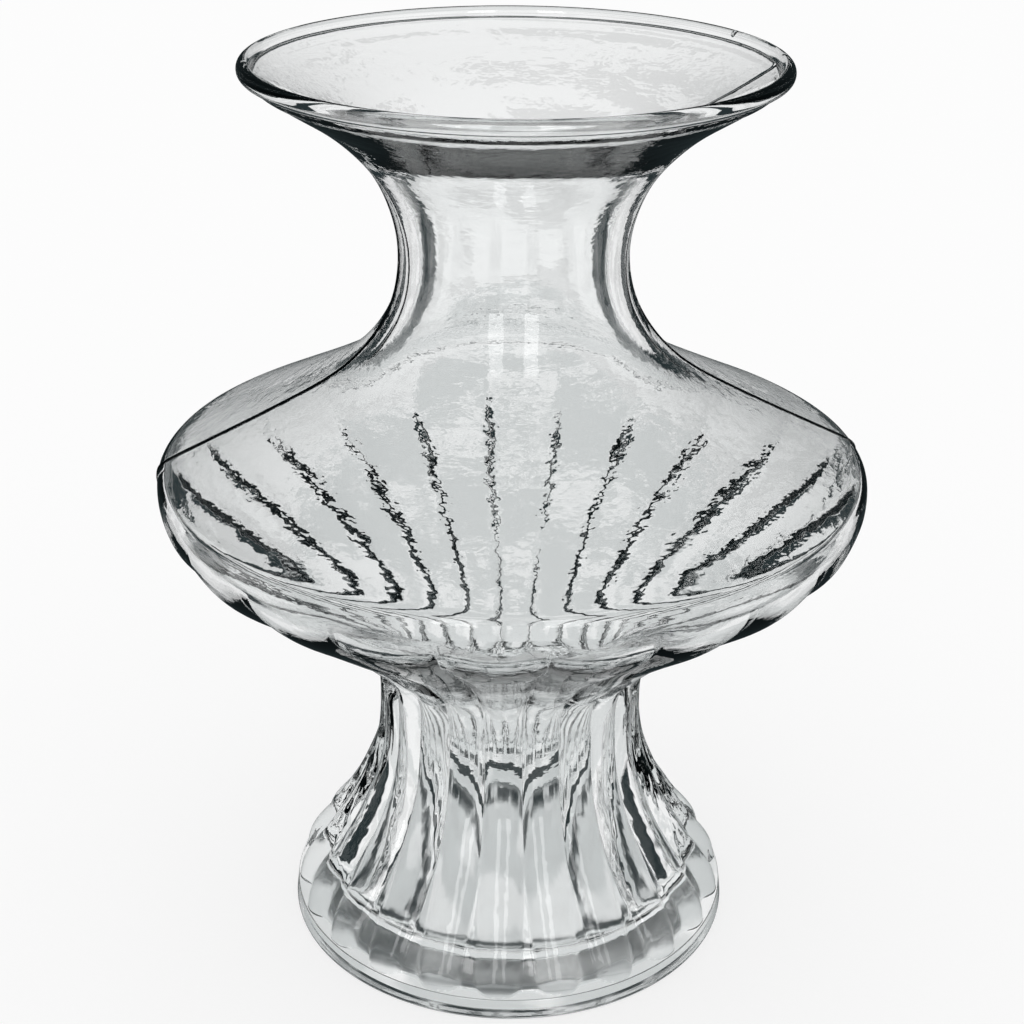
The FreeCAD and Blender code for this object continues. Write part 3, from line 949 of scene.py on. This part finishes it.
def studio_world(colours):
    """Plain white light, apart from what the glass shows.

    Through the glass stand eight white sheets round the vase, with the dark room above them and in the gaps
    between them. What the glass mirrors on its outside is that room and its bright windows.
    """
    world = bpy.data.worlds.new("soft_studio")
    bpy.context.scene.world = world
    world.use_nodes = True
    tree = world.node_tree
    tree.nodes.clear()
    way = add_node(tree, "ShaderNodeTexCoord").outputs["Generated"]
    parts = add_node(tree, "ShaderNodeSeparateXYZ", [way]).outputs
    light = add_node(tree, "ShaderNodeLightPath").outputs
    mirrored = add_node(
        tree, MATH, [light["Is Glossy Ray"], light["Is Transmission Ray"]], operation="GREATER_THAN")
    plain = add_node(tree, MATH, [light["Is Camera Ray"], light["Is Diffuse Ray"]], operation="MAXIMUM")

    # The turn from straight behind the vase, and that turn folded at each sheet and each window pane
    turn = add_node(tree, MATH, [parts["X"], parts["Y"]], operation="ARCTAN2")
    turn = add_node(tree, MATH, [turn], operation="ABSOLUTE")
    fold = add_node(tree, MATH, [turn, math.radians(SHEET_TURN)], operation="PINGPONG")
    panes = add_node(tree, MATH, [turn, math.radians(FIRST_PANE)], operation="SUBTRACT")
    panes = add_node(tree, MATH, [panes, math.radians(PANE_TURN)], operation="PINGPONG")
    spans = [(name, parts["Z"], np.sin(np.radians(span))) for name, span in STUDIO_LEVELS.items()]
    for name, value in (("gap", fold), ("pane", panes), ("window side", turn)):
        spans.append((name, value, np.radians(STUDIO_TURNS[name])))
    edges = {name: add_node(tree, MAP_RANGE, [value, *span], interpolation_type="SMOOTHSTEP")
             for name, value, span in spans}

    sheet = add_node(tree, MATH, [1.0, edges["gap"]], operation="SUBTRACT")
    for name in ("sheet foot", "sheet head"):
        sheet = add_node(tree, MATH, [sheet, edges[name]], operation="MULTIPLY")
    window = mirrored
    for name in ("sill", "window head", "pane", "window side"):
        window = add_node(tree, MATH, [window, edges[name]], operation="MULTIPLY")

    shades = add_node(tree, NOISE, {"Vector": way, "Scale": SHEET_SHADES, "Detail": 3.0})
    shades = add_node(tree, MAP_RANGE, [shades, *SHEET_SHADE_EDGE], interpolation_type="SMOOTHSTEP")
    paper = add_node(
        tree, MIX, {0: shades, 6: linear(colours.sheet_shade), 7: linear(colours.sheet)},
        data_type="RGBA").outputs[2]
    room = add_node(
        tree, MIX, {0: edges["ceiling"], 6: linear(colours.room), 7: linear(colours.ceiling)},
        data_type="RGBA").outputs[2]
    seen = room
    for share, colour in ((sheet, paper), (mirrored, room), (window, WHITE), (plain, WHITE)):
        seen = add_node(tree, MIX, {0: share, 6: seen, 7: colour}, data_type="RGBA").outputs[2]
    strength = add_node(tree, MATH, [window, WINDOW_LIGHT], operation="MULTIPLY")
    strength = add_node(tree, MATH, [1.0, strength], operation="ADD")
    background = add_node(tree, "ShaderNodeBackground", {"Color": seen, "Strength": strength})
    add_node(tree, "ShaderNodeOutputWorld", [background])


class VASE_OT_blister(bpy.types.Operator):
    """Makes the small blister that stands on the lip, and the low bump beside it"""
    bl_idname = "vase.blister"
    bl_label = "Blister on the lip"

    def execute(self, context):
        points, faces = [], []
        for turn, radius, level, size in BLISTERS:
            angle = math.radians(turn)
            centre = (radius * MM * math.cos(angle), radius * MM * math.sin(angle), level * MM)
            start = len(points)
            for ring in range(1, BLISTER_RINGS):
                lean = math.pi * ring / BLISTER_RINGS
                flat, up = size * MM * math.sin(lean), size * MM * math.cos(lean)
                for side in range(BLISTER_SIDES):
                    way = math.tau * side / BLISTER_SIDES
                    points.append(
                        (centre[0] + flat * math.cos(way), centre[1] + flat * math.sin(way), centre[2] + up))
            points += [(centre[0], centre[1], centre[2] + pole) for pole in (size * MM, -size * MM)]
            rows = [start + ring * BLISTER_SIDES for ring in range(BLISTER_RINGS - 1)]
            for low, high in zip(rows[1:], rows):
                faces += band(low, high, BLISTER_SIDES)
            faces += band(rows[0], ("pole", len(points) - 2), BLISTER_SIDES)
            faces += band(("pole", len(points) - 1), rows[-1], BLISTER_SIDES)
        blister = new_object("lip_blister", mesh_of("lip_blister", points, faces))
        blister.data.materials.append(WALL["coats"][GLASS_COAT])
        for name in ("ripple", "drawn"):
            blister.data.attributes.new(name, "FLOAT", "POINT")
        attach(blister, BODY)
        return {"FINISHED"}


class VASE_OT_stage(bpy.types.Operator):
    """Sets up the floor, the soft light and the camera"""
    bl_idname = "vase.stage"
    bl_label = "Stage"

    def execute(self, context):
        turns = np.linspace(0, math.tau, FLOOR_SIDES, endpoint=False)
        ring = [(FLOOR_RADIUS * math.cos(a), FLOOR_RADIUS * math.sin(a), -FLOOR_GAP) for a in turns]
        floor = new_object("floor", mesh_of("floor", ring, [tuple(range(len(ring)))]))
        floor.data.materials.append(floor_material(context.scene.vase_colours))
        studio_world(context.scene.vase_colours)
        camera = bpy.data.objects.new("camera", bpy.data.cameras.new("camera"))
        context.scene.collection.objects.link(camera)
        camera.data.sensor_width = SENSOR_WIDTH
        camera.data.lens = LENS
        camera.location = CAMERA_PLACE
        camera.rotation_mode = "QUATERNION"
        tilt = Euler((math.radians(CAMERA_TILT), 0, 0)).to_quaternion()
        camera.rotation_quaternion = tilt @ Quaternion((0, 0, 1), CAMERA_ROLL)
        context.scene.camera = camera
        context.scene.view_settings.view_transform = "Standard"
        return {"FINISHED"}


class VASE_PT_panel(bpy.types.Panel):
    """Lists the steps that make the vase"""
    bl_idname = "VASE_PT_panel"
    bl_label = "Footed glass vase"
    bl_space_type = "VIEW_3D"
    bl_region_type = "UI"
    bl_category = "Vase"

    def draw(self, context):
        for group in (context.scene.vase_sizes, context.scene.vase_colours):
            for name in group.bl_rna.properties.keys():
                if name not in ("name", "rna_type"):
                    self.layout.prop(group, name)
        for step in STEPS:
            self.layout.operator(step.bl_idname)


STEPS = (
    VASE_OT_form_wall, VASE_OT_base_plate, VASE_OT_fluted_zones, VASE_OT_smooth_zones, VASE_OT_lip_ring,
    VASE_OT_blister, VASE_OT_stage,
)
CLASSES = (VaseSizes, VaseColours) + STEPS + (VASE_PT_panel,)


def register():
    for kind in CLASSES:
        bpy.utils.register_class(kind)
    bpy.types.Scene.vase_sizes = PointerProperty(type=VaseSizes)
    bpy.types.Scene.vase_colours = PointerProperty(type=VaseColours)


def unregister():
    del bpy.types.Scene.vase_colours
    del bpy.types.Scene.vase_sizes
    for kind in reversed(CLASSES):
        bpy.utils.unregister_class(kind)


def main():
    register()
    bpy.ops.vase.form_wall()
    bpy.ops.vase.base_plate()
    bpy.ops.vase.fluted_zones()
    bpy.ops.vase.smooth_zones()
    bpy.ops.vase.lip_ring()
    bpy.ops.vase.blister()
    bpy.ops.vase.stage()


if __name__ == "__main__":
    main()
